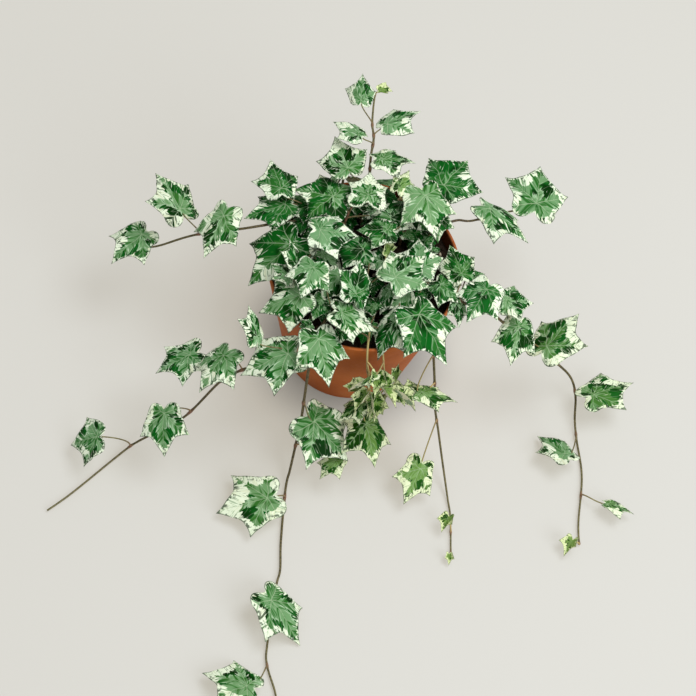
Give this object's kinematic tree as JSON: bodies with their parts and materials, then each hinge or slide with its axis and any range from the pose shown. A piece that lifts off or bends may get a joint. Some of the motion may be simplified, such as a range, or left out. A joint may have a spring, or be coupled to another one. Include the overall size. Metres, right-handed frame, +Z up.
{
  "type": "potted english ivy",
  "caption": "A variegated English ivy with green, grey-green and cream leaves, trailing over the rim of a plain terracotta-coloured plastic pot filled with dark soil.",
  "frame": {"origin": "the middle of the pot's flat underside, on the surface that it stands on", "axes": "+Z up, -Y toward the front, where the longest stems trail, +X to the plant's right as the front is faced"},
  "size_m": [0.3963, 0.4208, 0.1516],
  "materials": {
    "pot": "smooth satin terracotta-coloured moulded plastic",
    "soil": "loose dark potting soil with bark and a few pale grains",
    "foliage": "thin waxy leaves, dark green and grey-green with broad cream margins, on brown stems"
  },
  "bodies": {
    "root": {"pot": "pot", "soil": "soil", "vine_left_upper": "foliage", "vine_top": "foliage", "vine_right_upper": "foliage", "vine_right": "foliage", "vine_front_right": "foliage", "vine_front": "foliage", "vine_left_low": "foliage", "shoot_front": "foliage", "shoot_front_right": "foliage", "crown_left": "foliage", "crown_back": "foliage", "crown_right": "foliage", "crown_middle_left": "foliage", "crown_front_left": "foliage", "crown_middle": "foliage", "crown_middle_right": "foliage", "vine_back_left": "foliage", "vine_back_right": "foliage"}
  },
  "joints": []
}
